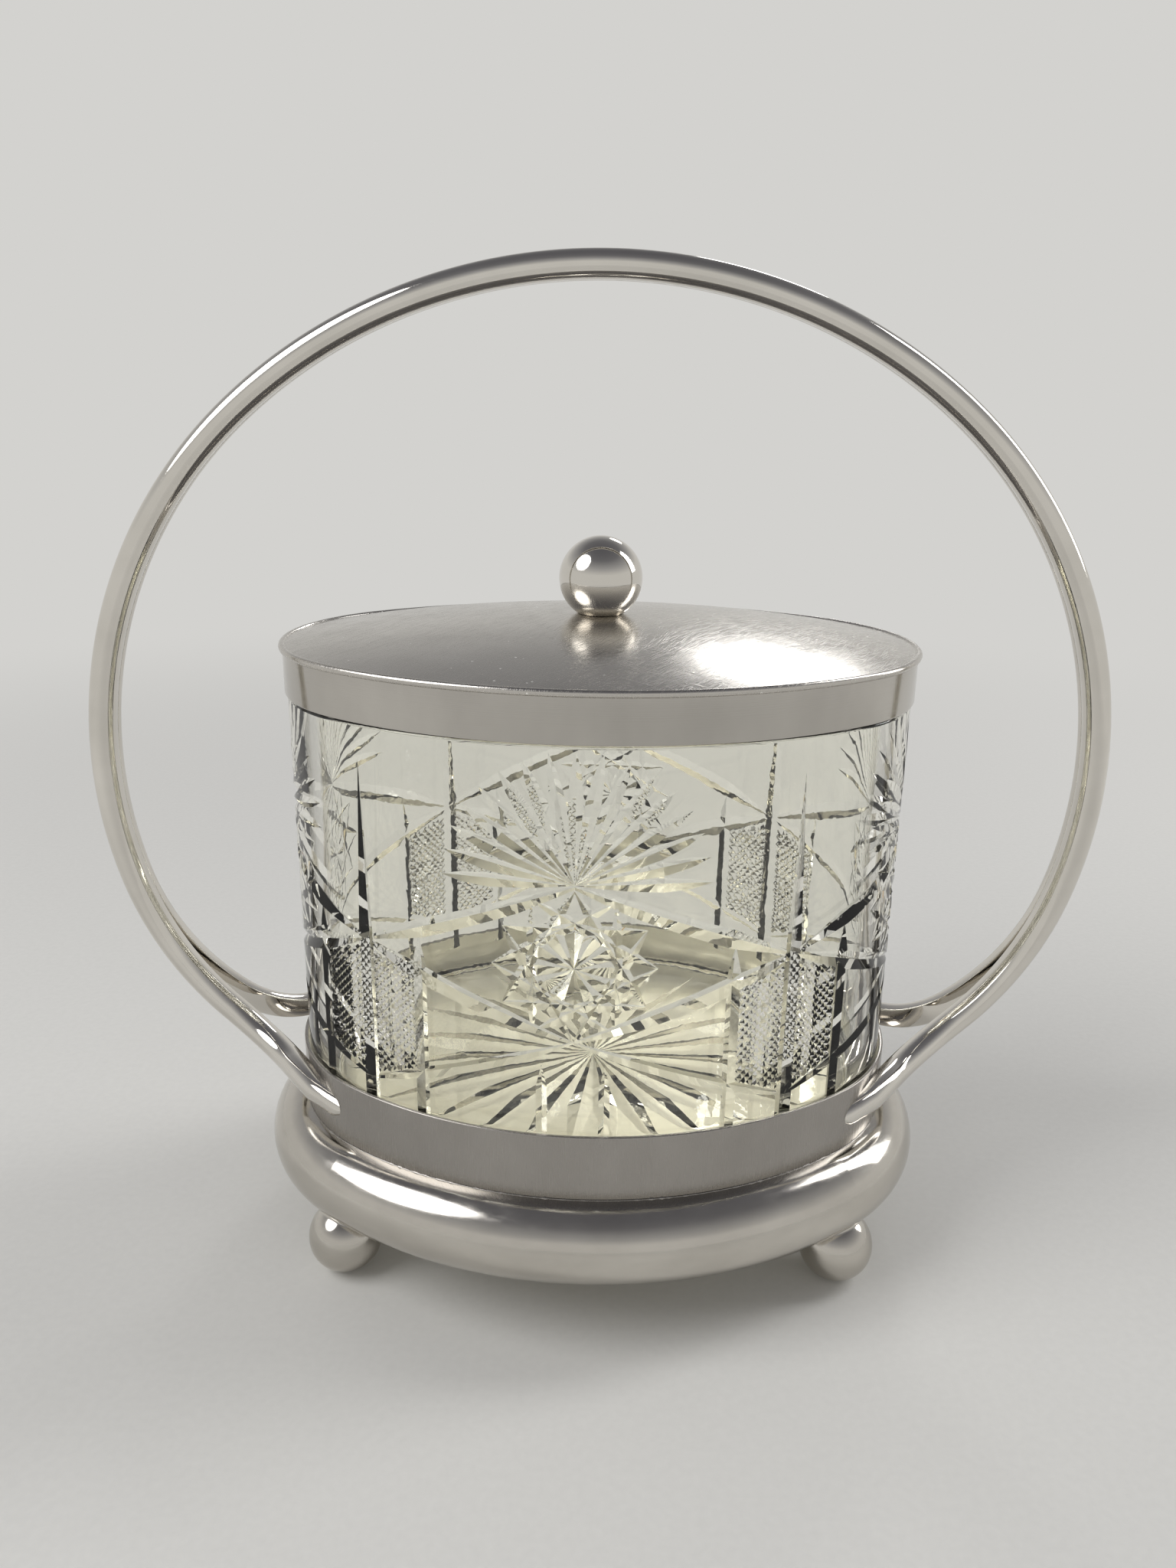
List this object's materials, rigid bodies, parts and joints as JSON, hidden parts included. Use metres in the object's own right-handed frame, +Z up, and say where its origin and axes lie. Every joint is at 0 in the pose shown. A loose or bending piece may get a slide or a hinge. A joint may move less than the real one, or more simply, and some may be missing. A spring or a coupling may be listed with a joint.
{
  "type": "biscuit jar",
  "caption": "Oval cut-glass biscuit jar with a plated lid and ball finial, in a plated stand with a collar, round moulding, ball feet and a forked hoop handle.",
  "frame": {"origin": "middle of the resting plane, under the centre of the oval", "axes": "+X along the oval and the hoop handle, +Y to the back, +Z up"},
  "size_m": [0.2498, 0.1262, 0.2422],
  "materials": {
    "polished_plate": "polished silver plate",
    "satin_plate": "satin silver plate with fine brush lines",
    "cut_glass": "clear cut glass",
    "fixing": "dull brass"
  },
  "bodies": {
    "stand": {"base_plate": "satin_plate", "collar_band": "satin_plate", "base_moulding": "polished_plate", "foot_front_left": "polished_plate", "foot_front_right": "polished_plate", "foot_back_left": "polished_plate", "foot_back_right": "polished_plate", "handle_front_rod": "polished_plate", "handle_back_rod": "polished_plate"},
    "jar": {"glass_jar": "cut_glass"},
    "lid": {"lid_band": "polished_plate", "lid_dome": "satin_plate", "finial_ball": "polished_plate", "finial_stud": "fixing", "finial_nut": "fixing"}
  },
  "joints": [
    {"name": "jar_lift", "type": "slide", "parent": "stand", "child": "jar", "axis": [0, 0, 1], "range_m": [0, 0.022]},
    {"name": "lid_lift", "type": "slide", "parent": "jar", "child": "lid", "axis": [0, 0, 1], "range_m": [0, 0.03]}
  ]
}
